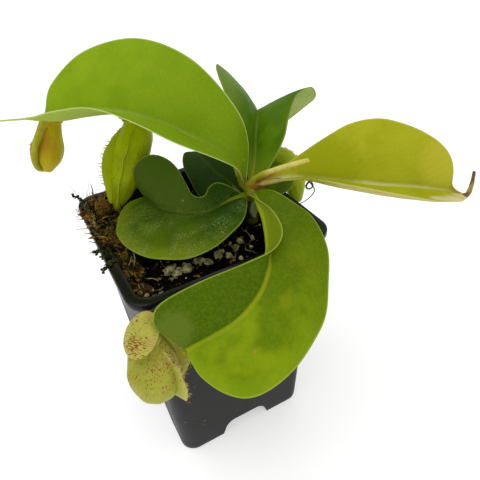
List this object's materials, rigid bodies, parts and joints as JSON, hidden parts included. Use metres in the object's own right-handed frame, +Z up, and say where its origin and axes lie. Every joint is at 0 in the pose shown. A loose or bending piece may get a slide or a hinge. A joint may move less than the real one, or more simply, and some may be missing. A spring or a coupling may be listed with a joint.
{
  "type": "potted pitcher plant",
  "caption": "Young tropical pitcher plant with broad arching leaves and hanging closed pitchers, in a tall tapered square nursery pot of peat mix.",
  "frame": {"origin": "centre of the whole plant's bounding box, on the ground under the pot's feet", "axes": "+Z up; +X along the pot's front side to the right; +Y to the back, as seen from the pot's front"},
  "size_m": [0.1818, 0.1762, 0.1859],
  "materials": {
    "pot_plastic": "dark grey, moulded, a little glossy on the rim",
    "potting_mix": "black peat with off-white perlite grains",
    "moss": "golden-brown dead sphagnum, matted",
    "stem": "green, satin",
    "leaf_green": "fresh green, waxy, pale midrib",
    "leaf_yellow": "yellow-green, waxy",
    "leaf_dark": "dark green with water spots",
    "leaf_young": "pale yellow-tan",
    "leaf_withered": "grey-green, dry",
    "pitcher_green": "yellow-green with red-brown speckles",
    "pitcher_bronze": "olive to orange-brown",
    "tendril": "yellow-green, satin",
    "tendril_dried": "brown, dry"
  },
  "bodies": {
    "root": {"growing_medium": "potting_mix", "leaf_back": "leaf_green", "leaf_front": "leaf_green", "leaf_low_back": "leaf_dark", "leaf_low_left": "leaf_dark", "leaf_low_right": "leaf_dark", "leaf_right": "leaf_yellow", "leaf_spear": "leaf_young", "leaf_upper_left": "leaf_green", "leaf_withered": "leaf_withered", "moss": "moss", "pitcher_front": "pitcher_green", "pitcher_front_lid": "pitcher_green", "pitcher_left": "pitcher_green", "pitcher_left_lid": "pitcher_green", "pitcher_right": "pitcher_green", "pitcher_right_lid": "pitcher_green", "pitcher_upper_left": "pitcher_bronze", "pitcher_upper_left_lid": "pitcher_bronze", "pot": "pot_plastic", "stem": "stem", "tendril_back": "tendril", "tendril_front": "tendril", "tendril_low_left": "tendril", "tendril_low_right": "tendril", "tendril_right": "tendril_dried", "tendril_upper_left": "tendril"}
  },
  "joints": []
}
